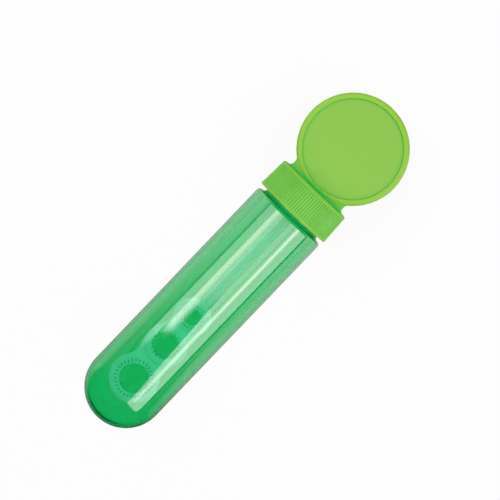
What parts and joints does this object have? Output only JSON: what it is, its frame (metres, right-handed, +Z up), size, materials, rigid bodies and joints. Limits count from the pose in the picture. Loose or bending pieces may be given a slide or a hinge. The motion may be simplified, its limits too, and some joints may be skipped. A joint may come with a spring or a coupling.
{
  "type": "bubble wand",
  "caption": "Clear green round-ended tube with a ribbed screw cap that carries a flat disc handle, and a dipping wand with rings in a row hanging inside from the cap.",
  "frame": {"origin": "on the table under the middle of the object's length, with the object lying on its side", "axes": "+X along the tube from its round end to the disc handle, +Z up, square to the disc's face, +Y across"},
  "size_m": [0.14, 0.037, 0.0283],
  "materials": {
    "tube_plastic": "clear green moulded plastic, polished",
    "wand_plastic": "natural milky moulded plastic",
    "liner_foam": "white closed-cell foam",
    "cap_plastic": "lime green moulded plastic, satin"
  },
  "bodies": {
    "tube_body": {"tube": "tube_plastic"},
    "wand_body": {"wand": "wand_plastic"},
    "liner_body": {"cap_liner": "liner_foam"},
    "cap_body": {"screw_cap": "cap_plastic"}
  },
  "joints": [
    {"name": "wand_pull", "type": "slide", "parent": "tube_body", "child": "wand_body", "axis": [1, 0, 0], "range_m": [0, 0.095]},
    {"name": "cap_lift", "type": "slide", "parent": "wand_body", "child": "liner_body", "axis": [1, 0, 0], "range_m": [-0.0011, 0]},
    {"name": "cap_turn", "type": "hinge", "parent": "liner_body", "child": "cap_body", "pos_m": [0.02797, 0, 0.01415], "axis": [1, 0, 0], "range_deg": [-75, 0]}
  ],
  "couplings": [
    {"joint": "cap_lift", "follows": "cap_turn", "m_per_rad": 0.00084034}
  ]
}
